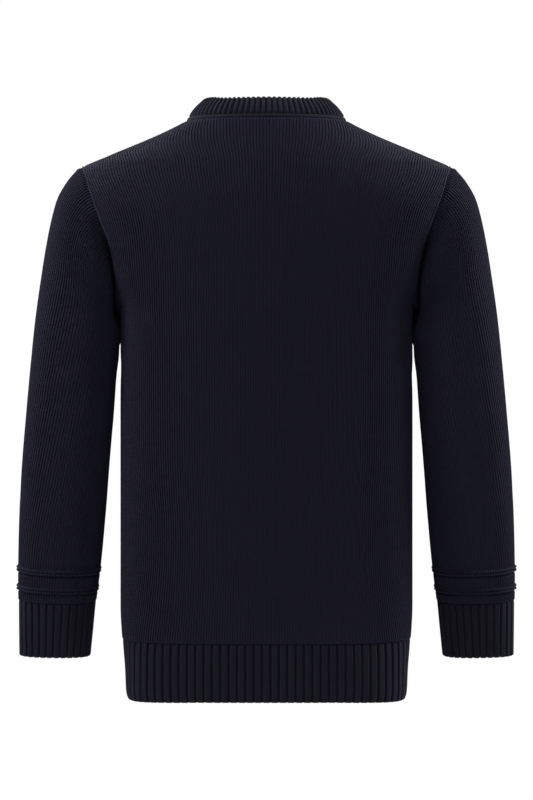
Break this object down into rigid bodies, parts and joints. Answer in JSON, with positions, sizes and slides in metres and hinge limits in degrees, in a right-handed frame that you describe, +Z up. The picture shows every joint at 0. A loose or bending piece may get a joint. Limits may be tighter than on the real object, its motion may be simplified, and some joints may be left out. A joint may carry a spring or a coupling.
{
  "type": "knitted crew neck sweater",
  "caption": "Heavy knit crew neck sweater in its worn, hollow form, with set-in sleeves, ribbed neck, cuffs and hem and two raised welts above each cuff.",
  "frame": {"origin": "middle of the neck at the height of the shoulder neck points, where the wearer's shoulders carry the garment", "axes": "+Z up, +Y towards the back of the garment, +X towards the wearer's left sleeve"},
  "size_m": [0.6186, 0.233, 0.7264],
  "materials": {
    "knit": "dark navy plain knit of smooth worsted yarn, soft and matt with a faint sheen at grazing angles",
    "rib": "dark navy two by one rib knit, matt"
  },
  "bodies": {
    "root": {"panel_back": "knit", "panel_front": "knit", "sleeve_left": "knit", "sleeve_right": "knit", "cuff_left": "rib", "cuff_right": "rib", "hem_rib_back": "rib", "hem_rib_front": "rib", "neck_rib": "rib"}
  },
  "joints": []
}
